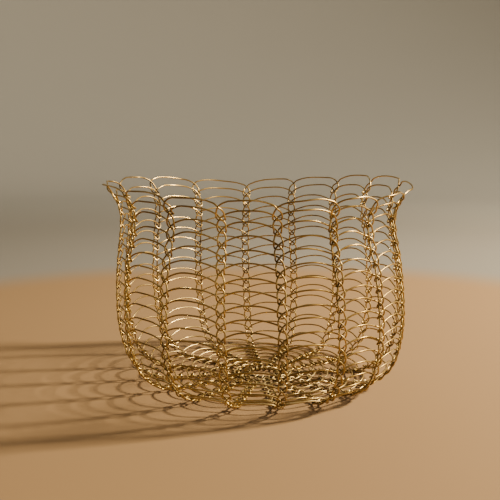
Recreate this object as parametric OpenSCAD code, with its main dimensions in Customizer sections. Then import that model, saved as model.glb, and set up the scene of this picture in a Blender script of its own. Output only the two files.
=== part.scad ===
// Round open basket looped by hand from one kind of brass wire.
// The work starts at a small ring in the middle of the base. Every later round is one course of
// crossed loops, hooked behind the crossings of the course before, out over the base and up the wall.

/* [Wire] */
// Diameter of the drawn wire
wire_d = 1.0; // [0.8:0.05:1.05]

/* [Loops] */
// Loops in every course, which stand above each other as columns
columns = 16; // [14:2:18]
// Courses that lie in the flat base and its rounded edge
base_courses = 8; // [7:1:9]
// Courses that stand in the wall
wall_courses = 16; // [15:1:17]
// Half of the widest part of a loop, at the wire's centre
loop_half_w = 2.4; // [2.2:0.1:2.9]
// How far a floating arc rises between two columns
arc_rise = 5.0; // [2.5:0.1:5.5]

/* [Outline] */
// Radius of the flat part of the base
base_r = 64; // [60:1:66]
// Length of the rounded edge between base and wall, measured along the curve
edge_len = 36; // [32:1:40]
// Angle through which the rounded edge turns up
edge_turn = 72; // [68:1:74]
// Length of the lower wall, up to where it stands upright
low_wall_len = 29; // [24:1:34]
// Angle through which the lower wall turns
low_wall_turn = 18; // [16:1:20]
// Length of the upper wall, which leans in
high_wall_len = 44; // [40:1:48]
// Angle through which the upper wall leans in
high_wall_turn = 10; // [8:1:12]
// Length of the waist under the rim
waist_len = 14; // [12:1:16]
// Angle through which the waist straightens again
waist_turn = -8; // [-10:1:-6]
// Length of the flared rim
flare_len = 23; // [20:1:24]
// Angle through which the rim flares out
flare_turn = -56; // [-60:1:-50]

/* [Handwork] */
// How far the wall leans to the right below the rim
lean = 3.5; // [0:0.5:5]
// Rise or fall of the wavy lip at even steps round it, from the first column on
lip_rise = [-0.5, 0.5, 0, 1.5, 4.5, 5.5, 3, 0.5, -2.5, 0.5, 4, 4, 4, 3.5, 2.5, 0];
// Degrees by which the columns are set off sideways at the lip, at the same steps
lip_shift = [-1, -2, -4, -6, 0, 0.5, 0, -1, -2.5, -1, -2.5, 0, 3, 9, 5, 2];
// Main part of the sideways wander of the columns, in degrees
column_wander = 2.3; // [0:0.1:2.5]
// How far a crossing strays up or down from its course
crossing_stray = 0.4; // [0:0.1:0.6]
// Share by which loops and arcs differ in size
size_spread = 0.10; // [0:0.01:0.15]
// Angle of the first column, in degrees from +X
first_column = -82.5; // [-90:0.5:-70]

/* [Start ring] */
// Radius of the ring that the first course is hooked on
ring_r = 10; // [9.5:0.5:12]

/* [Hidden] */
// Three-sided section of a looped wire, and its reach from the centre line
section_sides = 3;
section_r = 0.7 * wire_d;
ring_fn = 96;

// Layers of the loops, measured from the basket's skin: plus is outside, minus is inside
cross_front = 0.80 * wire_d;
cross_back = -0.42 * wire_d;
belly_out = 0.52 * wire_d;
strand_out = 0.88 * wire_d;
foot_in = -1.30 * wire_d;
arc_in = -0.90 * wire_d;
arc_top_in = -0.40 * wire_d;
ring_in = -0.10 * wire_d;

// A loop's own proportions
belly_drop = 0.45;
belly_share = 0.90;
strand_up = 1.4;
foot_share = 0.60;
foot_down = 1.9;
arc_step = 3.2;
arc_peak_share = 0.45;
rim_peak_share = 0.27;
loop_per_space = 0.33;
step_per_space = 0.22;
rise_per_space = 0.22;
rise_start_share = 0.45;
rise_end_share = 0.40;

// A column space wider than this has room for the top of an arc
wide_space = 30;

// How the first course wraps round the start ring
wrap_half_share = 0.35;
wrap_reach = 1.15 * wire_d;
wrap_past = 1.2 * wire_d;

// Outline length between the start ring and the first crossings, and between the last crossings and the lip
first_gap = 8.5;
lip_gap = 3.5;

// The handwork on the columns is all there from this distance outwards
wander_full_at = 90;

// Share of the lip's shift that the wall has already, and where the rest of it starts
wall_shift_share = 0.3;
shift_from = 165;

// The skin stands this far above the surface that the basket rests on
skin_z = strand_out + section_r;

// The outline, from the middle of the base to the lip: each run is [length, angle turned]
outline = [
    [base_r, 0],
    [edge_len, edge_turn],
    [low_wall_len, low_wall_turn],
    [high_wall_len, high_wall_turn],
    [waist_len, waist_turn],
    [flare_len, flare_turn],
];
outline_len = base_r + edge_len + low_wall_len + high_wall_len + waist_len + flare_len;

// Courses are evenly spaced along the outline
courses = base_courses + wall_courses + 1;
first_level = ring_r + first_gap;
top_level = outline_len - lip_gap;
course_pitch = (top_level - first_level) / (courses - 1);

// Tilt of the section from the skin, in degrees, which keeps its corners off the way the wire runs
section_tilt = 25;

function two_digits(n) = n < 10 ? str("0", n) : str(n);

function course_name(k) =
    k <= base_courses ? str("base_course_", two_digits(k))
    : k < courses ? str("wall_course_", two_digits(k - base_courses))
    : "rim_course";

function unit(v) = v / norm(v);

// Distance of a course from the middle of the base, along the outline
function level(k) = k == 0 ? ring_r : first_level + course_pitch * (k - 1);

// Handwork never repeats exactly: a number from -1 to 1 for column j of course k
function uneven(j, k, kind) = sin(137.5 * (j % columns) + 211 * k + 90 * kind);

// Distance of one crossing along the outline
function crossing(j, k) = level(k) + (k == 0 ? 0 : crossing_stray * uneven(j, k, 0));

// State [radius, height, heading] after following one run of the outline for a length
function follow(state, run, len) =
    let (r = state[0], z = state[1], h = state[2], turn = run[1] / run[0])
    turn == 0
    ? [r + len * cos(h), z + len * sin(h), h]
    : let (bend_r = 180 / (PI * turn), h2 = h + turn * len)
      [r + bend_r * (sin(h2) - sin(h)), z + bend_r * (cos(h) - cos(h2)), h2];

// The skin's radius, height and heading at a distance s along the outline
function skin(s, i = 0, state = [0, skin_z, 0]) =
    s <= outline[i][0] || i == len(outline) - 1
    ? follow(state, outline[i], s)
    : skin(s - outline[i][0], i + 1, follow(state, outline[i], outline[i][0]));

// How far up from the base a distance s is: 0 on the base, 1 at the lip
function up(s) = max(0, (s - base_r) / (outline_len - base_r));

// How far the skin has leaned at a distance s, and how high the lip's rise has carried it at an angle a
function leaned(s) = lean * (1 - pow(up(s), 1.5));
function risen(a, s) = round_the_lip(lip_rise, a) * pow(up(s), 2.5);

// A value between the steps of a list that goes once round the lip
function round_the_lip(list, a) =
    let (n = len(list), t = (a - first_column) / 360 * n, i = floor(t), past = t - i,
         i1 = (i % n + n) % n, i2 = (i1 + 1) % n)
    list[i1] * (1 - past) + list[i2] * past;

// Share of the lip's shift that a column has at a distance s
function shifted(s) =
    wall_shift_share * min(1, s / wander_full_at)
    + (1 - wall_shift_share) * max(0, (s - shift_from) / (outline_len - shift_from));

// Angle of a column at a distance s along the outline
function column_angle(j, s) =
    let (c = 360 / columns * j)
    first_column + c + shifted(s) * round_the_lip(lip_shift, first_column + c)
    + column_wander * min(1, s / wander_full_at) * (
        0.65 * sin(c - 115)
        + sin(3 * c + 73 + 0.3 * s)
        + 0.48 * sin(5 * c - 132 + 0.5 * s)
    );

// A point at angle a, distance s along the outline and w outside the skin
function at(a, s, w) =
    let (p = skin(s), r = p[0] + w * sin(p[2]), z = p[1] - w * cos(p[2]))
    [r * cos(a) + leaned(s), r * sin(a), z + risen(a, s)];

// The same, with the angle given as a sideways distance u from column j
function beside(j, u, s, w) = at(column_angle(j, s) + u / skin(s)[0] * 180 / PI, s, w);

// Direction that the section's first corner points to, at angle a and distance s
function corner_way(a, s) =
    let (h = skin(s)[2] + section_tilt)
    [sin(h) * cos(a), sin(h) * sin(a), -cos(h)];

// Room that one loop has round the basket
function space(k) = 2 * PI * skin(level(k))[0] / columns;
function half_w(j, k) = min(loop_half_w, loop_per_space * space(k)) * (1 + size_spread * uneven(j, k, 1));

// One loop as rows of [sideways distance, distance along the outline, distance outside the skin].
// The wire comes in over the crossing, runs down the right side, behind the course before, and up the left.
function hooked_loop(j, k) =
    let (s = crossing(j, k), below = crossing(j, k - 1), belly = s - belly_drop * (s - below),
         side = belly_share * half_w(j, k), strand = half_w(j, k - 1), foot = foot_share * strand)
    [
        [0, s, cross_front],
        [side, belly, belly_out],
        [strand, below + strand_up, strand_out],
        [foot, below - foot_down, foot_in],
        [-foot, below - foot_down, foot_in],
        [-strand, below + strand_up, strand_out],
        [-side, belly, belly_out],
        [0, s, cross_back],
    ];

// A loop of the first course is wrapped once round the centre ring instead
function wrapped_loop(j) =
    let (s = crossing(j, 1), belly = s - belly_drop * (s - ring_r),
         side = half_w(j, 1), wrap = wrap_half_share * side)
    [
        [0, s, cross_front],
        [side, belly, belly_out],
        [wrap, ring_r, ring_in + wrap_reach],
        [0, ring_r - wrap_past, ring_in],
        [-wrap, ring_r, ring_in - wrap_reach],
        [-side, belly, 0],
        [0, s, cross_back],
    ];

// The floating arc that leads from a crossing to the next column
function arc_points(j, k) =
    let (s1 = crossing(j, k), s2 = crossing(j + 1, k),
         share = (k < courses ? arc_peak_share : rim_peak_share) + 0.5 * size_spread * uneven(j, k, 2),
         rise = min(arc_rise, rise_per_space * space(k)) * (1 + size_spread * uneven(j, k, 3)),
         step = min(arc_step, step_per_space * space(k)),
         peak_s = (1 - share) * s1 + share * s2 + rise,
         peak_angle = (1 - share) * column_angle(j, peak_s) + share * column_angle(j + 1, peak_s))
    concat(
        [beside(j, step, s1 + rise_start_share * rise, arc_in)],
        space(k) > wide_space ? [at(peak_angle, peak_s, arc_top_in)] : [],
        [beside(j + 1, -step, s2 + rise_end_share * rise, arc_in)]
    );

// One loop and the arc after it
function stitch(j, k) =
    concat(
        [for (p = k == 1 ? wrapped_loop(j) : hooked_loop(j, k)) beside(j, p[0], p[1], p[2])],
        arc_points(j, k)
    );

// Corners of the wire's section at a point, square to the way the wire runs there
function section(before, here, after, k) =
    let (way = unit(after - before), s = level(k), a = atan2(here[1], here[0] - leaned(s)),
         across = unit(cross(way, corner_way(a, s))), out = cross(across, way))
    [for (q = [0:section_sides - 1])
        let (turn = 90 + 360 / section_sides * q)
        here + section_r * (cos(turn) * across + sin(turn) * out)];

// A closed round of wire through a list of points
module wire_round(path, k) {
    n = len(path);
    corners = [for (i = [0:n - 1]) each section(path[(i + n - 1) % n], path[i], path[(i + 1) % n], k)];
    faces = [
        for (i = [0:n - 1], q = [0:section_sides - 1])
        let (i2 = (i + 1) % n, q2 = (q + 1) % section_sides,
             a = i * section_sides + q, b = i * section_sides + q2,
             c = i2 * section_sides + q2, d = i2 * section_sides + q)
        each [[a, b, c], [a, c, d]]
    ];
    polyhedron(corners, faces, convexity = 10);
}

// One course: every loop and arc of one round of the work
module course(k) {
    color("goldenrod")
    wire_round([for (j = [0:columns - 1]) each stitch(j, k)], k);
}

// Plain ring of wire in the middle of the base
module centre_ring() {
    color("darkgoldenrod")
    translate([lean, 0, skin_z - ring_in])
    rotate_extrude($fn = ring_fn)
    translate([ring_r, 0])
    circle(d = wire_d, $fn = 24);
}

centre_ring();
for (k = [1:courses]) course(k);
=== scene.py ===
# %% [markdown]
# # A wire produce basket, looped by hand
#
# The basket is an open bowl for fruit and vegetables, about 200 mm across and 134 mm high. It is
# worked like looped knitting from one gauge of bare brass wire, 1 mm thick. The work starts on a small
# ring in the middle of the base. Every later round, or course, hooks one teardrop loop behind each
# crossing of the course before, and lets the wire float in a shallow arc to the next loop. The loops
# stand above each other as sixteen braided columns, and the floating arcs make the ladders between
# them. Nothing is soldered, glued or clipped.
#
# In this lesson each course becomes one smooth wire. It takes the place of the plainer solid of the
# same course in the imported model, and keeps that solid's position and size.

# %% [markdown]
# ## The frame
#
# The imported model comes first, as the fixed frame for the looks.

# %% Load the frame
from math import atan2, cos, degrees, floor, hypot, pi, radians, sin

import bmesh
import bpy
import numpy as np
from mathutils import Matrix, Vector
from mathutils.kdtree import KDTree


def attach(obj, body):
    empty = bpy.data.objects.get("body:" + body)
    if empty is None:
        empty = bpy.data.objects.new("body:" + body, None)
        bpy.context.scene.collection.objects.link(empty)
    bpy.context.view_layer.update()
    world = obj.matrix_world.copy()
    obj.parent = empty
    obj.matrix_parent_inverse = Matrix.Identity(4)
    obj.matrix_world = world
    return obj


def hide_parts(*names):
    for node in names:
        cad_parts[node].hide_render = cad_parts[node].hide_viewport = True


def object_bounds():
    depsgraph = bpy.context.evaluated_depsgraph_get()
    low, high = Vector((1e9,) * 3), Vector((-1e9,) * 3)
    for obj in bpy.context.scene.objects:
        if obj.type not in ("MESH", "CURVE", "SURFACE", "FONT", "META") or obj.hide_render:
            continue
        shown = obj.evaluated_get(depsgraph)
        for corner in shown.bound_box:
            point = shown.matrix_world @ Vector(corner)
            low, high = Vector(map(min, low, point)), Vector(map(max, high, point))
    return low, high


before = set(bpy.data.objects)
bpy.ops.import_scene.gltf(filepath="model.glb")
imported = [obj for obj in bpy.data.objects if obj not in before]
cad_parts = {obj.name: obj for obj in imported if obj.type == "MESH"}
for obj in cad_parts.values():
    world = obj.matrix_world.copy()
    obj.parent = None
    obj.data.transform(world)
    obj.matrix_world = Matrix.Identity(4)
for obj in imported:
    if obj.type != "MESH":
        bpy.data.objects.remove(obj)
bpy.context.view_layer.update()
print("CAD nodes:", len(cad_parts))

# %% [markdown]
# ## Measures of the work
#
# A maker of such a basket thinks in millimetres, counts and turns, so these values are in
# millimetres and degrees, and they become metres only when a wire is made. They are the same values
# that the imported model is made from. The outline runs from the middle of the base to the lip as a
# chain of even bends. That is how a soft wall behaves when it is shaped over the hands: it never has
# a sharp corner, and each bend runs smoothly into the next one.

# %% Counts and lengths
MM = 0.001
WIRE = 1.0
COLUMNS = 16
BASE_COURSES = 8
WALL_COURSES = 16
COURSES = BASE_COURSES + WALL_COURSES + 1
BASE_R = 64

OUTLINE = [  # length of each bend, and the angle it turns through
    (BASE_R, 0),
    (36, 72),
    (29, 18),
    (44, 10),
    (14, -8),
    (23, -56),
]
OUTLINE_LEN = sum(length for length, turn in OUTLINE)

RING_R = 10
FIRST_GAP = 8.5  # from the centre ring to the first crossings
LIP_GAP = 3.5  # from the last crossings to the lip
FIRST_LEVEL = RING_R + FIRST_GAP
PITCH = (OUTLINE_LEN - LIP_GAP - FIRST_LEVEL) / (COURSES - 1)
print("outline:", OUTLINE_LEN, "mm, and one course every", round(PITCH, 2), "mm")

# %% Layers of the wire, outside (+) and inside (-) the basket's skin
SECTION_R = 0.7 * WIRE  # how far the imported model's wire reaches from its middle
CROSS_FRONT = 0.80 * WIRE
CROSS_BACK = -0.42 * WIRE
BELLY_OUT = 0.52 * WIRE
STRAND_OUT = 0.88 * WIRE
FOOT_IN = -1.30 * WIRE
ARC_IN = -0.90 * WIRE
ARC_TOP_IN = -0.40 * WIRE
RING_IN = -0.10 * WIRE
SKIN_Z = STRAND_OUT + SECTION_R
print("the skin of the base is", round(SKIN_Z, 2), "mm above the table")

# %% [markdown]
# ## Handwork
#
# A machine would put every loop on a perfect grid. Here the columns wander sideways by a degree or
# two, the lip rises and falls in slow waves, the wall leans a little to one side, and no two loops
# have quite the same size. Random numbers would be the quick way to get this. Sums of a few sines
# do it better: they give the same basket each time, the last column meets the first one, and
# neighbouring courses drift together, as they do in real work. The lip is bent by hand at the end,
# so it gets two short lists instead, one step for each column.

# %% How the hand strays
FIRST_COLUMN = -82.5
LEAN = 3.5
LIP_RISE = [-0.5, 0.5, 0, 1.5, 4.5, 5.5, 3, 0.5, -2.5, 0.5, 4, 4, 4, 3.5, 2.5, 0]
LIP_SHIFT = [-1, -2, -4, -6, 0, 0.5, 0, -1, -2.5, -1, -2.5, 0, 3, 9, 5, 2]
WALL_SHIFT_SHARE = 0.3
SHIFT_FROM = 165
COLUMN_WANDER = 2.3
WANDER_FULL_AT = 90
CROSSING_STRAY = 0.4
SIZE_SPREAD = 0.10
LEAN_FADES = 1.5  # powers of the way up
RISE_GROWS = 2.5
COLUMN_TURN = 137.5  # degrees that make neighbouring loops unlike each other
COURSE_TURN = 211
KIND_TURN = 90
WANDER_WAVES = [  # weight, waves round the basket, start in degrees, and degrees more for each mm
    (0.65, 1, -115, 0),
    (1, 3, 73, 0.3),
    (0.48, 5, -132, 0.5),
]


def dsin(angle):
    return sin(radians(angle))


def dcos(angle):
    return cos(radians(angle))


def uneven(j, k, kind):
    """A number from -1 to 1 that differs for every loop: column j of course k."""
    return dsin(COLUMN_TURN * (j % COLUMNS) + COURSE_TURN * k + KIND_TURN * kind)


def up(s):
    """How far up from the base a distance along the outline is: 0 on the base, 1 at the lip."""
    return max(0.0, (s - BASE_R) / (OUTLINE_LEN - BASE_R))


def round_the_lip(steps, angle):
    """A value between the steps of a list that goes once round the lip, from the first column on."""
    turn = (angle - FIRST_COLUMN) / 360 * len(steps)
    i = floor(turn)
    past = turn - i
    return steps[i % len(steps)] * (1 - past) + steps[(i + 1) % len(steps)] * past


def leaned(s):
    """How far the skin stands to the right at distance s: all of the lean below, none at the lip."""
    return LEAN * (1 - up(s) ** LEAN_FADES)


def risen(angle, s):
    """How far the wavy lip carries the skin up with it."""
    return round_the_lip(LIP_RISE, angle) * up(s) ** RISE_GROWS


def column_angle(j, s):
    """Angle round the basket of column j, at distance s along the outline."""
    c = 360 / COLUMNS * j
    even = FIRST_COLUMN + c
    begun = min(1.0, s / WANDER_FULL_AT)
    flared = max(0.0, (s - SHIFT_FROM) / (OUTLINE_LEN - SHIFT_FROM))
    shifted = WALL_SHIFT_SHARE * begun + (1 - WALL_SHIFT_SHARE) * flared
    wander = sum(weight * dsin(n * c + start + more * s) for weight, n, start, more in WANDER_WAVES)
    return even + shifted * round_the_lip(LIP_SHIFT, even) + COLUMN_WANDER * begun * wander


print("the lip rises up to", max(LIP_RISE), "mm, and its columns shift up to", max(LIP_SHIFT), "degrees")

# %% [markdown]
# ## The skin
#
# All the wires weave in and out of one imaginary surface, the skin. The outline is followed bend by
# bend to find the skin's radius, height and heading at any distance. After that, every point of the
# work has three plain numbers: how far along the outline, how far to the side of its column, and how
# far outside the skin.

# %% Places on the skin
def skin(s):
    """Radius, height and heading of the skin at distance s from the middle of the base."""
    r, z, heading = 0.0, SKIN_Z, 0.0
    for i, (length, turn) in enumerate(OUTLINE):
        last = s <= length or i == len(OUTLINE) - 1
        run = s if last else length
        if turn == 0:
            r += run * dcos(heading)
            z += run * dsin(heading)
        else:
            bend_r = degrees(length / turn)
            heading_2 = heading + turn * run / length
            r += bend_r * (dsin(heading_2) - dsin(heading))
            z += bend_r * (dcos(heading) - dcos(heading_2))
            heading = heading_2
        if last:
            return r, z, heading
        s -= length


def at(angle, s, w):
    """The point at an angle round the basket, distance s along the outline and w outside the skin."""
    r, z, heading = skin(s)
    r += w * dsin(heading)
    z -= w * dcos(heading)
    return Vector((r * dcos(angle) + leaned(s), r * dsin(angle), z + risen(angle, s))) * MM


def beside(j, u, s, w):
    """The same, with the angle given as a distance u to the side of column j."""
    return at(column_angle(j, s) + degrees(u / skin(s)[0]), s, w)


def outside_skin(point, s):
    """How far a point is outside the skin, in mm. It starts at distance s and steps to the nearest."""
    x, y, z = point / MM
    for _ in range(3):
        r0, z0, heading = skin(s)
        x0 = x - leaned(s)
        dr = hypot(x0, y) - r0
        dz = z - risen(degrees(atan2(y, x0)), s) - z0
        s += dr * dcos(heading) + dz * dsin(heading)
    return dr * dsin(heading) - dz * dcos(heading)


lip_r, lip_z, lip_heading = skin(OUTLINE_LEN)
print("the lip is", round(lip_r), "mm from the middle and", round(lip_z), "mm up")
print("its heading is", round(lip_heading), "degrees up from level")

# %% Courses, crossings and the room that a loop has
LOOP_HALF_W = 2.4
LOOP_PER_SPACE = 0.33


def level(k):
    return RING_R if k == 0 else FIRST_LEVEL + PITCH * (k - 1)


def crossing(j, k):
    """Distance along the outline at which the two legs of a loop cross."""
    return level(k) + (CROSSING_STRAY * uneven(j, k, 0) if k else 0)


def space(k):
    """Distance from one column to the next, round the basket."""
    return 2 * pi * skin(level(k))[0] / COLUMNS


def half_w(j, k):
    return min(LOOP_HALF_W, LOOP_PER_SPACE * space(k)) * (1 + SIZE_SPREAD * uneven(j, k, 1))


print("columns at the widest course are", round(max(space(k) for k in range(1, COURSES)), 1), "mm apart")

# %% [markdown]
# ## One stitch
#
# A stitch is one loop and the arc after it. The wire comes in over the crossing, runs down the right
# side, turns behind the crossing of the course below, comes up the left side and leaves under its own
# start. A loop could be drawn as a flat teardrop, but then the wires would cut through each other.
# Each point here also says which layer it is in, so the legs pass in front of and behind one another,
# with only a slight press where they touch.

# %% Loops
BELLY_DROP = 0.45  # share of the way down at which a loop is widest
BELLY_SHARE = 0.90  # how much of its full width it has there
STRAND_UP = 1.4  # where a side passes over the loop below, above that loop's crossing
FOOT_DOWN = 1.9  # where it turns behind that crossing
FOOT_SHARE = 0.60
WRAP_SHARE = 0.35  # width of the turn round the centre ring, as a share of the loop's
WRAP_REACH = 1.15 * WIRE
WRAP_PAST = 1.2 * WIRE


def hooked_loop(j, k):
    """Rows of distance to the side, distance along the outline, and distance outside the skin."""
    s, below = crossing(j, k), crossing(j, k - 1)
    belly = s - BELLY_DROP * (s - below)
    side = BELLY_SHARE * half_w(j, k)
    strand = half_w(j, k - 1)
    foot = FOOT_SHARE * strand
    return [
        (0, s, CROSS_FRONT),
        (side, belly, BELLY_OUT),
        (strand, below + STRAND_UP, STRAND_OUT),
        (foot, below - FOOT_DOWN, FOOT_IN),
        (-foot, below - FOOT_DOWN, FOOT_IN),
        (-strand, below + STRAND_UP, STRAND_OUT),
        (-side, belly, BELLY_OUT),
        (0, s, CROSS_BACK),
    ]


def wrapped_loop(j):
    """A loop of the first course goes once round the centre ring instead."""
    s = crossing(j, 1)
    belly = s - BELLY_DROP * (s - RING_R)
    side = half_w(j, 1)
    wrap = WRAP_SHARE * side
    return [
        (0, s, CROSS_FRONT),
        (side, belly, BELLY_OUT),
        (wrap, RING_R, RING_IN + WRAP_REACH),
        (0, RING_R - WRAP_PAST, RING_IN),
        (-wrap, RING_R, RING_IN - WRAP_REACH),
        (-side, belly, 0),
        (0, s, CROSS_BACK),
    ]


print("the first loop of the rim is", round(2 * half_w(0, COURSES), 1), "mm wide")

# %% Floating arcs
ARC_RISE = 5.0
ARC_STEP = 3.2
PER_SPACE = 0.22  # rise and step are smaller where columns are close
ARC_PEAK = 0.45  # share of the way across at which an arc is highest
RIM_PEAK = 0.27
RISE_START = 0.45  # shares of its rise that it has beside the two crossings
RISE_END = 0.40
WIDE_SPACE = 30  # closer columns have no room for a peak between them


def arc(j, k):
    """The arc from a crossing to the next column: it rises steeply, and comes down behind the loop."""
    s1, s2 = crossing(j, k), crossing(j + 1, k)
    peak_share = RIM_PEAK if k == COURSES else ARC_PEAK
    share = peak_share + SIZE_SPREAD / 2 * uneven(j, k, 2)
    rise = min(ARC_RISE, PER_SPACE * space(k)) * (1 + SIZE_SPREAD * uneven(j, k, 3))
    step = min(ARC_STEP, PER_SPACE * space(k))
    points = [beside(j, step, s1 + RISE_START * rise, ARC_IN)]
    if space(k) > WIDE_SPACE:
        peak_s = (1 - share) * s1 + share * s2 + rise
        peak = (1 - share) * column_angle(j, peak_s) + share * column_angle(j + 1, peak_s)
        points.append(at(peak, peak_s, ARC_TOP_IN))
    points.append(beside(j + 1, -step, s2 + RISE_END * rise, ARC_IN))
    return points


print("points in an arc of the base:", len(arc(0, 1)), "and in an arc of the wall:", len(arc(0, COURSES)))

# %% A whole course
def course_points(k):
    """All the points of one closed round: a loop and an arc for every column."""
    points = []
    for j in range(COLUMNS):
        loop = wrapped_loop(j) if k == 1 else hooked_loop(j, k)
        points += [beside(j, *row) for row in loop] + arc(j, k)
    return points


print("points in the first course:", len(course_points(1)), "and in the rim:", len(course_points(COURSES)))

# %% [markdown]
# ## From points to wire
#
# A wire is a round section carried along a smooth line, and a Bezier curve with a round bevel is
# exactly that. Its automatic handles keep the line free of kinks, as a springy wire keeps itself.
# The curve is then turned into a mesh, because each point of the surface is going to carry its own
# wear. The mesh is closed: the last ring joins the first one, and the faces look outwards. The
# texture map that comes with it runs along the wire and round it, which suits the fine lines that
# the drawing die leaves. It is stretched so that both directions have the same scale.

# %% Wire maker
SIDES = 10
STEPS = 6
ROUND_THE_WIRE = pi * WIRE * MM


def wire_mesh(name, points):
    """A closed loop of round wire through a list of points, as a new object."""
    curve = bpy.data.curves.new(name + "_line", "CURVE")
    curve.dimensions = "3D"
    curve.resolution_u = STEPS
    curve.bevel_depth = WIRE * MM / 2
    curve.bevel_resolution = (SIDES - 4) // 2
    line = curve.splines.new("BEZIER")
    line.bezier_points.add(len(points) - 1)
    line.use_cyclic_u = True
    for knot, point in zip(line.bezier_points, points):
        knot.co = point
        knot.handle_left_type = knot.handle_right_type = "AUTO"
    drawn = bpy.data.objects.new(name + "_line", curve)
    bpy.context.scene.collection.objects.link(drawn)
    graph = bpy.context.evaluated_depsgraph_get()
    mesh = bpy.data.meshes.new_from_object(drawn.evaluated_get(graph), depsgraph=graph)
    mesh.name = name
    mesh.shade_smooth()
    bpy.data.objects.remove(drawn)
    bpy.data.curves.remove(curve)
    piece = bpy.data.objects.new(name, mesh)
    bpy.context.scene.collection.objects.link(piece)
    return piece


def ring_centres(piece):
    """Middle of each ring of vertices along a wire."""
    co = np.empty(3 * len(piece.data.vertices), np.float32)
    piece.data.vertices.foreach_get("co", co)
    return co.reshape(-1, SIDES, 3).mean(axis=1)


def even_map(piece):
    """Stretches the map along the wire until both of its directions have the same scale."""
    centres = ring_centres(piece)
    length = float(np.linalg.norm(centres - np.roll(centres, 1, axis=0), axis=1).sum())
    layer = piece.data.uv_layers.active.data
    uv = np.empty(2 * len(layer), np.float32)
    layer.foreach_get("uv", uv)
    uv[0::2] *= length / ROUND_THE_WIRE
    layer.foreach_set("uv", uv)
    return length


# %% [markdown]
# ## The centre ring and the courses
#
# The centre ring is the first thing that the maker bends, round a dowel. Each course after it is a
# piece of its own, as it would come off the basket if the work were undone from the rim. They are
# made in the order of the real work: ring, base, wall, rim.

# %% Bend the centre ring
RING_POINTS = 24


def ring_points():
    middle = Vector((LEAN, 0, SKIN_Z - RING_IN)) * MM
    turns = [360 / RING_POINTS * i for i in range(RING_POINTS)]
    return [middle + Vector((RING_R * dcos(a), RING_R * dsin(a), 0)) * MM for a in turns]


pieces = {}
pieces[0] = wire_mesh("bent_centre_ring", ring_points())
print("centre ring:", len(pieces[0].data.vertices), "vertices")

# %% Loop the courses
def course_names(k):
    """Name of the new piece, and of the CAD node that it stands for."""
    if k == 0:
        return "bent_centre_ring", "centre_ring"
    if k <= BASE_COURSES:
        return f"looped_base_{k:02}", f"base_course_{k:02}"
    if k < COURSES:
        return f"looped_wall_{k - BASE_COURSES:02}", f"wall_course_{k - BASE_COURSES:02}"
    return "looped_rim", "rim_course"


for k in range(1, COURSES + 1):
    pieces[k] = wire_mesh(course_names(k)[0], course_points(k))
print("pieces of wire:", len(pieces))

# %% Stretch each map, hide the CAD node that each course stands for, and attach the piece
total_length = 0.0
for k, piece in pieces.items():
    total_length += even_map(piece)
    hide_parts(course_names(k)[1])
    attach(piece, "root")
print("wire in the basket:", round(total_length, 1), "m")

# %% [markdown]
# ## Where wires touch
#
# Two wires that lie together trap dust and damp, so the brass turns brown there first. The narrow gap
# between them also lies in shade, so the browning painted there is painted shade as well as tarnish.
# A bake of ambient occlusion would find those places, but its answer depends on rays and samples. A
# search tree over the middles of all the wires gives a clean one: the distance to the nearest other
# strand. It is kept on the mesh as an attribute. The closest distance of all is printed too. It is
# taken from ring to ring of the meshes, so the lines through the wires pass a little closer still.

# %% Measure the contacts
NEAR = 1.75 * WIRE * MM
TOUCH = 1.05 * WIRE * MM
SAME_STRAND = 3.0 * WIRE * MM

centres = {k: ring_centres(piece) for k, piece in pieces.items()}
tree = KDTree(sum(len(c) for c in centres.values()))
owner = []
for k, middles in centres.items():
    for i, middle in enumerate(middles):
        tree.insert(middle, len(owner))
        owner.append((k, i))
tree.balance()

along = {}
for k, middles in centres.items():
    gaps = np.linalg.norm(middles - np.roll(middles, 1, axis=0), axis=1)
    along[k] = (np.cumsum(gaps), float(gaps.sum()))


def apart_on_wire(k, i1, i2):
    """Distance between two rings of one wire, measured along it, the shorter way round."""
    far = abs(float(along[k][0][i1] - along[k][0][i2]))
    return min(far, along[k][1] - far)


def nearest_strand(k, i, middle):
    """Distance from one ring to the nearest ring that isn't its own neighbour on the same wire."""
    nearest = NEAR
    for _, index, distance in tree.find_range(middle, NEAR):
        k2, i2 = owner[index]
        if distance < nearest and (k2 != k or apart_on_wire(k, i, i2) > SAME_STRAND):
            nearest = distance
    return nearest


closest = NEAR
for k, piece in pieces.items():
    to_next = np.array([nearest_strand(k, i, m) for i, m in enumerate(centres[k])], np.float32)
    closest = min(closest, float(to_next.min()))
    # closeness to another strand, which later darkens the brass where wires touch: tarnish and painted
    # shade
    touching = np.clip((NEAR - to_next) / (NEAR - TOUCH), 0, 1)
    layer = piece.data.attributes.new("touching", "FLOAT", "POINT")
    layer.data.foreach_set("value", np.repeat(touching, SIDES))
print("closest rings of two strands, middle to middle:", round(closest / MM, 2), "mm")

# %% [markdown]
# ## Where hands and tables rub
#
# Fingers, fruit and the table top reach the outermost wires first, and polish them. So each vertex
# keeps how far it stands outside the skin, on either side of it, as a number from 0 to 1.

# %% Measure what is rubbed
RUB_FROM = 0.5 * WIRE
RUB_FULL = 1.4 * WIRE

for k, piece in pieces.items():
    reach = np.array([abs(outside_skin(v.co, level(k))) for v in piece.data.vertices], np.float32)
    rubbed = np.clip((reach - RUB_FROM) / (RUB_FULL - RUB_FROM), 0, 1)
    layer = piece.data.attributes.new("rubbed", "FLOAT", "POINT")
    layer.data.foreach_set("value", rubbed)
print("share of the rim that is rubbed:", round(float(rubbed.mean()), 2))

# %% [markdown]
# ## Shader groups
#
# Three effects appear in every brass finish here: the lines of the drawing die, the clouds of
# patina, and the polish of handling. Each is a node group with named sockets, so it is built once
# and placed in each material with that finish's own values. The groups give out masks only, and
# the shader itself stays in the material.

# %% Node helpers
def place(nodes, kind, **values):
    """A new node. Values with a capital go on its input sockets, the rest are its own settings."""
    made = nodes.new("ShaderNode" + kind)
    for name, value in values.items():
        if name[0].isupper():
            made.inputs[name.replace("_", " ")].default_value = value
        else:
            setattr(made, name, value)
    return made


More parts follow.
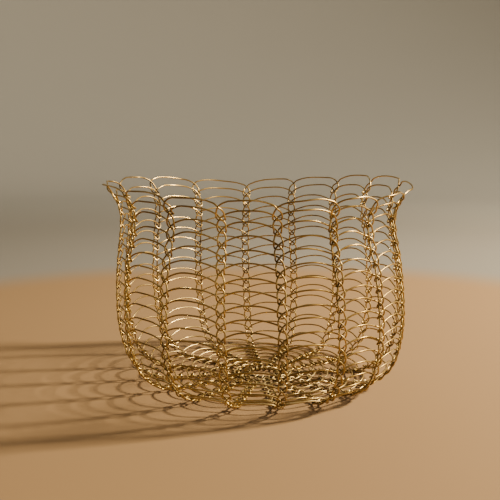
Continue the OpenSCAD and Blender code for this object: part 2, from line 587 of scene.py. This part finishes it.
def calculate(tree, operation, a, b=0.0, clamp=False):
    """A Math node on two sockets or numbers, and its result."""
    made = place(tree.nodes, "Math", operation=operation, use_clamp=clamp)
    for i, value in enumerate((a, b)):
        if isinstance(value, bpy.types.NodeSocket):
            tree.links.new(value, made.inputs[i])
        else:
            made.inputs[i].default_value = value
    return made.outputs[0]


def ramp(tree, value, low, high):
    """0 below low, 1 above high, and smooth in between."""
    made = place(tree.nodes, "MapRange", interpolation_type="SMOOTHSTEP", From_Min=low, From_Max=high)
    tree.links.new(value, made.inputs["Value"])
    return made.outputs["Result"]


def new_group(name, inputs, outputs):
    """An empty shader group with named numbers going in and out, and its two end nodes."""
    group = bpy.data.node_groups.new(name, "ShaderNodeTree")
    for label, value in inputs.items():
        socket = group.interface.new_socket(label, in_out="INPUT", socket_type="NodeSocketFloat")
        socket.default_value = value
    for label in outputs:
        group.interface.new_socket(label, in_out="OUTPUT", socket_type="NodeSocketFloat")
    return group, group.nodes.new("NodeGroupInput").outputs, group.nodes.new("NodeGroupOutput").inputs


# %% [markdown]
# ### Lines of the drawing die
#
# Wire is pulled through a die, which leaves hair lines along it. The map's second direction goes
# round the wire, and a plain noise would show a seam where it starts again. Turning that direction
# into a circle first makes the noise meet itself.

# %% Drawn lines
drawn_lines, given, result = new_group(
    "drawn_lines", {"Fineness": 2.5, "Line Length": 12.0}, ["Lines"]
)
uv_map = place(drawn_lines.nodes, "TexCoord")
parts = place(drawn_lines.nodes, "SeparateXYZ")
drawn_lines.links.new(uv_map.outputs["UV"], parts.inputs[0])
angle = calculate(drawn_lines, "MULTIPLY", parts.outputs["Y"], 2 * pi)
circle = place(drawn_lines.nodes, "CombineXYZ")
for axis, operation in (("X", "COSINE"), ("Y", "SINE")):
    turned = calculate(drawn_lines, operation, angle)
    spread = calculate(drawn_lines, "MULTIPLY", turned, given["Fineness"])
    drawn_lines.links.new(spread, circle.inputs[axis])
stretched = calculate(drawn_lines, "DIVIDE", parts.outputs["X"], given["Line Length"])
drawn_lines.links.new(stretched, circle.inputs["Z"])
line_noise = place(drawn_lines.nodes, "TexNoise", Scale=1.0, Detail=4.0, Roughness=0.65)
drawn_lines.links.new(circle.outputs[0], line_noise.inputs["Vector"])
drawn_lines.links.new(ramp(drawn_lines, line_noise.outputs["Fac"], 0.3, 0.7), result["Lines"])
print("group drawn_lines:", len(drawn_lines.nodes), "nodes")

# %% [markdown]
# ### Patina and painted contact shade
#
# Bare brass darkens unevenly: in soft clouds a few centimetres across, in small flecks inside them,
# and most of all where wires touch. Where wires touch, the darkening is painted shade between them as
# well as tarnish. The clouds read the object's own coordinates, so they pass over neighbouring wires
# together, as damp air does.

# %% Patina clouds, and painted shade where wires touch
FLECKED = 0.55  # how much of the patina comes only in flecks

patina_and_contact_shade, given, result = new_group(
    "patina_and_contact_shade", {"Cloud Size": 0.03, "Amount": 0.5, "Touching": 0.0, "In Contacts": 0.8}, ["Patina"]
)
place_in_object = place(patina_and_contact_shade.nodes, "TexCoord")
cloud_scale = calculate(patina_and_contact_shade, "DIVIDE", 1.0, given["Cloud Size"])
clouds = place(patina_and_contact_shade.nodes, "TexNoise", Detail=3.0, Roughness=0.55)
flecks = place(patina_and_contact_shade.nodes, "TexNoise", Scale=520.0, Detail=2.0, Roughness=0.6)
patina_and_contact_shade.links.new(cloud_scale, clouds.inputs["Scale"])
for noise in (clouds, flecks):
    patina_and_contact_shade.links.new(place_in_object.outputs["Object"], noise.inputs["Vector"])
cloud_mask = ramp(patina_and_contact_shade, clouds.outputs["Fac"], 0.38, 0.68)
fleck_mask = ramp(patina_and_contact_shade, flecks.outputs["Fac"], 0.42, 0.66)
flecked = calculate(patina_and_contact_shade, "MULTIPLY", fleck_mask, FLECKED)
broken = calculate(patina_and_contact_shade, "ADD", flecked, 1 - FLECKED)
clouded = calculate(patina_and_contact_shade, "MULTIPLY", cloud_mask, broken)
open_air = calculate(patina_and_contact_shade, "MULTIPLY", clouded, given["Amount"])
# where wires touch: tarnish, and painted shade in the gap between the wires
contact = calculate(patina_and_contact_shade, "MULTIPLY", given["Touching"], given["In Contacts"])
contact_tarnish_and_shade = calculate(patina_and_contact_shade, "MULTIPLY", contact, broken)
patina_and_contact_shade.links.new(calculate(patina_and_contact_shade, "ADD", open_air, contact_tarnish_and_shade, clamp=True), result["Patina"])
print("group patina:", len(patina_and_contact_shade.nodes), "nodes")

# %% [markdown]
# ### Polish of handling
#
# Rubbing brings back bright metal on the parts that stand proud. It is never even, so a noise
# breaks it up.

# %% Handling wear
handling, given, result = new_group("handling", {"Rubbed": 0.0, "Amount": 0.6}, ["Wear"])
place_in_object = place(handling.nodes, "TexCoord")
patches = place(handling.nodes, "TexNoise", Scale=85.0, Detail=3.0, Roughness=0.5)
handling.links.new(place_in_object.outputs["Object"], patches.inputs["Vector"])
patch_mask = ramp(handling, patches.outputs["Fac"], 0.3, 0.62)
uneven_rub = calculate(handling, "MULTIPLY", given["Rubbed"], patch_mask)
handling.links.new(calculate(handling, "MULTIPLY", uneven_rub, given["Amount"], clamp=True), result["Wear"])
print("group handling:", len(handling.nodes), "nodes")

# %% [markdown]
# ## Brass finishes
#
# All the wire is the same brass, but it has not had the same life. The wall has a light warm patina.
# The rim is picked up by hand and is brighter. The base stays dusty and browner, and the centre
# ring, wrapped all round, is the darkest, with the most patina and painted contact shade. One function
# makes all four from the same recipe: two tones of brass, brown patina over them with painted shade
# where wires touch, and pale polish on top.

# %% Brass maker
FRESH = (0.54, 0.365, 0.112, 1)
DEEP = (0.26, 0.160, 0.043, 1)
BROWN = (0.042, 0.024, 0.009, 1)
POLISHED = (0.85, 0.64, 0.29, 1)

LINES_DEEPEN = 0.25
LINES_ROUGHEN = 0.10
PATINA_ROUGHENS = 0.26
PATINA_DULLS = 0.45
WEAR_SMOOTHS = 0.12


def mix_colours(tree, factor, a, b):
    """A Mix node between two colours, each a socket or four numbers."""
    made = place(tree.nodes, "Mix", data_type="RGBA")
    tree.links.new(factor, made.inputs["Factor"])
    for name, value in (("A", a), ("B", b)):
        socket = next(s for s in made.inputs if s.name == name and s.type == "RGBA")
        if isinstance(value, bpy.types.NodeSocket):
            tree.links.new(value, socket)
        else:
            socket.default_value = value
    return next(s for s in made.outputs if s.type == "RGBA")


def brass(name, patina_amount, in_contacts, wear_amount, roughness):
    """A brass with its own share of patina in the open, of tarnish and painted shade in contacts, and of
    wear.
    """
    material = bpy.data.materials.new(name)
    material.use_nodes = True
    tree = material.node_tree
    shader = tree.nodes["Principled BSDF"]

    lines = place(tree.nodes, "Group", node_tree=drawn_lines).outputs["Lines"]
    browning = place(
        tree.nodes, "Group", node_tree=patina_and_contact_shade, Amount=patina_amount, In_Contacts=in_contacts
    )
    touching = place(tree.nodes, "Attribute", attribute_name="touching")
    tree.links.new(touching.outputs["Fac"], browning.inputs["Touching"])
    dull = browning.outputs["Patina"]
    rubbing = place(tree.nodes, "Group", node_tree=handling, Amount=wear_amount)
    rubbed = place(tree.nodes, "Attribute", attribute_name="rubbed")
    tree.links.new(rubbed.outputs["Fac"], rubbing.inputs["Rubbed"])
    bright = rubbing.outputs["Wear"]

    tones = place(tree.nodes, "TexNoise", Scale=28.0, Detail=2.0)
    tree.links.new(place(tree.nodes, "TexCoord").outputs["Object"], tones.inputs["Vector"])
    two_tone = mix_colours(tree, ramp(tree, tones.outputs["Fac"], 0.35, 0.65), FRESH, DEEP)
    lined = mix_colours(tree, calculate(tree, "MULTIPLY", lines, LINES_DEEPEN), two_tone, DEEP)
    # brown patina, with painted shade where wires touch
    browned = mix_colours(tree, dull, lined, BROWN)
    polished = mix_colours(tree, bright, browned, POLISHED)
    tree.links.new(polished, shader.inputs["Base Color"])

    rough = calculate(tree, "ADD", calculate(tree, "MULTIPLY", lines, LINES_ROUGHEN), roughness)
    rough = calculate(tree, "ADD", rough, calculate(tree, "MULTIPLY", dull, PATINA_ROUGHENS))
    smoothed = calculate(tree, "MULTIPLY", bright, WEAR_SMOOTHS)
    rough = calculate(tree, "SUBTRACT", rough, smoothed, clamp=True)
    tree.links.new(rough, shader.inputs["Roughness"])
    metal = calculate(tree, "SUBTRACT", 1.0, calculate(tree, "MULTIPLY", dull, PATINA_DULLS))
    tree.links.new(metal, shader.inputs["Metallic"])

    bump = place(tree.nodes, "Bump", Strength=0.35, Distance=0.00003)
    tree.links.new(lines, bump.inputs["Height"])
    tree.links.new(bump.outputs[0], shader.inputs["Normal"])
    return material


# %% Four finishes of one brass
ring_finish = brass("brass_centre", patina_amount=0.90, in_contacts=0.95, wear_amount=0.15, roughness=0.40)
base_finish = brass("brass_base", patina_amount=0.70, in_contacts=0.95, wear_amount=0.55, roughness=0.34)
wall_finish = brass("brass_wall", patina_amount=0.42, in_contacts=0.85, wear_amount=0.60, roughness=0.31)
rim_finish = brass("brass_rim", patina_amount=0.40, in_contacts=0.75, wear_amount=0.70, roughness=0.29)

for k, piece in pieces.items():
    finish = wall_finish
    if k == 0:
        finish = ring_finish
    elif k <= BASE_COURSES:
        finish = base_finish
    elif k == COURSES:
        finish = rim_finish
    piece.data.materials.clear()
    piece.data.materials.append(finish)
print("finishes:", sorted({p.data.materials[0].name for p in pieces.values()}))

# %% [markdown]
# ## Stage, light and camera
#
# The basket stands in a plain round studio, whose floor curves up into its wall, so there is no
# corner behind the basket from any side. The floor has a pale, warm table colour near the basket.
# Beyond it lies a darker band, painted shade that stands in for the key light falling off across the
# floor, and further out it fades into grey plaster. Metal shows what is around it, so the light
# matters as much as the brass. One small, strong, warm light from the right draws the bright lines on
# the wires, and a larger and much weaker one beside it widens them. A faint light from the left keeps
# the dark sides readable, another from behind and above catches the rim, and the room stays dim.

# %% Round studio
STUDIO_R = 2.2
STUDIO_H = 1.7
CURVE_R = 0.7
CURVE_STEPS = 8
STUDIO_SIDES = 64
TABLE = (0.285, 0.172, 0.078, 1)
# darker floor band beyond the table: painted shade where the key light would otherwise still brighten the
# floor
PAINTED_SHADE_FLOOR = (0.215, 0.20, 0.18, 1)
PLASTER = (0.44, 0.43, 0.41, 1)
TABLE_TO = 0.38
FLOOR_FROM = 0.50
FLOOR_TO = 0.80
PLASTER_FROM = 1.80


def plain_studio(name):
    """Table colour round the basket, a darker band of painted shade beyond it, and then plaster, with soft
    changes.
    """
    material = bpy.data.materials.new(name)
    material.use_nodes = True
    tree = material.node_tree
    shader = tree.nodes["Principled BSDF"]
    length = place(tree.nodes, "VectorMath", operation="LENGTH")
    tree.links.new(place(tree.nodes, "TexCoord").outputs["Object"], length.inputs[0])
    from_middle = length.outputs["Value"]
    # painted shade band on the floor, fading into plaster further out
    around = mix_colours(tree, ramp(tree, from_middle, FLOOR_TO, PLASTER_FROM), PAINTED_SHADE_FLOOR, PLASTER)
    mixed = mix_colours(tree, ramp(tree, from_middle, TABLE_TO, FLOOR_FROM), TABLE, around)
    tree.links.new(mixed, shader.inputs["Base Color"])
    shader.inputs["Roughness"].default_value = 0.85
    return material


floor_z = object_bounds()[0].z
studio = bmesh.new()
profile = [(0, 0), (STUDIO_R - CURVE_R, 0)]
for i in range(1, CURVE_STEPS + 1):
    a = pi / 2 * i / CURVE_STEPS
    profile.append((STUDIO_R - CURVE_R + CURVE_R * sin(a), CURVE_R - CURVE_R * cos(a)))
profile.append((STUDIO_R, STUDIO_H))
line = [studio.verts.new((x, 0, z + floor_z)) for x, z in profile]
edges = [studio.edges.new(pair) for pair in zip(line, line[1:])]
bmesh.ops.spin(
    studio, geom=line + edges, cent=(0, 0, 0), axis=(0, 0, 1), angle=2 * pi, steps=STUDIO_SIDES,
    use_merge=True
)
bmesh.ops.remove_doubles(studio, verts=studio.verts, dist=1e-5)
bmesh.ops.recalc_face_normals(studio, faces=studio.faces)
bmesh.ops.reverse_faces(studio, faces=studio.faces)
studio_mesh = bpy.data.meshes.new("studio")
studio.to_mesh(studio_mesh)
studio.free()
studio_mesh.shade_smooth()
studio_mesh.materials.append(plain_studio("pale_studio"))
studio_floor = bpy.data.objects.new("studio", studio_mesh)
bpy.context.scene.collection.objects.link(studio_floor)
print("studio floor at", round(floor_z / MM, 2), "mm")

# %% Soft lights
AIM_AT = Vector((0, 0, 0.06))
CANDLE = (1.0, 0.84, 0.57)
LATE_SUN = (1.0, 0.90, 0.72)
NORTH_SKY = (0.92, 0.95, 1.0)
CREAM = (1.0, 0.97, 0.92)


def soft_light(name, azimuth, elevation, distance, size, power, colour):
    """A square soft light that looks at the basket. Azimuth is counted from the front to the right."""
    light = bpy.data.lights.new(name, "AREA")
    light.size = size
    light.energy = power
    light.color = colour
    holder = bpy.data.objects.new(name, light)
    out = Vector((
        dsin(azimuth) * dcos(elevation),
        -dcos(azimuth) * dcos(elevation),
        dsin(elevation),
    ))
    holder.location = out * distance + AIM_AT
    holder.rotation_euler = out.to_track_quat("Z", "Y").to_euler()
    bpy.context.scene.collection.objects.link(holder)


soft_light("key", azimuth=100, elevation=33, distance=1.5, size=0.15, power=78, colour=CANDLE)
soft_light("window", azimuth=82, elevation=30, distance=1.3, size=0.6, power=3.0, colour=LATE_SUN)
soft_light("fill", azimuth=-60, elevation=40, distance=1.6, size=1.2, power=0.2, colour=NORTH_SKY)
soft_light("top", azimuth=185, elevation=58, distance=1.5, size=0.5, power=1.5, colour=CREAM)
print("lights:", sorted(light.name for light in bpy.data.lights))

# %% The dim room
ROOM_TINT = (0.90, 0.92, 1.0, 1)
ROOM_STRENGTH = 0.045

world = bpy.data.worlds.new("room")
world.use_nodes = True
background = world.node_tree.nodes["Background"]
background.inputs["Color"].default_value = ROOM_TINT
background.inputs["Strength"].default_value = ROOM_STRENGTH
bpy.context.scene.world = world
print("room strength:", ROOM_STRENGTH)

# %% Camera
CAMERA_AT = (0.0, -0.522, 0.1655)
CAMERA_DOWN = 8.55
CAMERA_LEFT = 0.57
SENSOR_W = 36
LENS = 56.5

camera_data = bpy.data.cameras.new("camera")
camera_data.sensor_width = SENSOR_W
camera_data.lens = LENS
camera_data.dof.use_dof = False
camera = bpy.data.objects.new("camera", camera_data)
camera.location = CAMERA_AT
camera.rotation_euler = (radians(90 - CAMERA_DOWN), 0, radians(CAMERA_LEFT))
bpy.context.scene.collection.objects.link(camera)
bpy.context.scene.camera = camera
print("the camera is", CAMERA_AT[2], "m up, and looks down by", CAMERA_DOWN, "degrees")
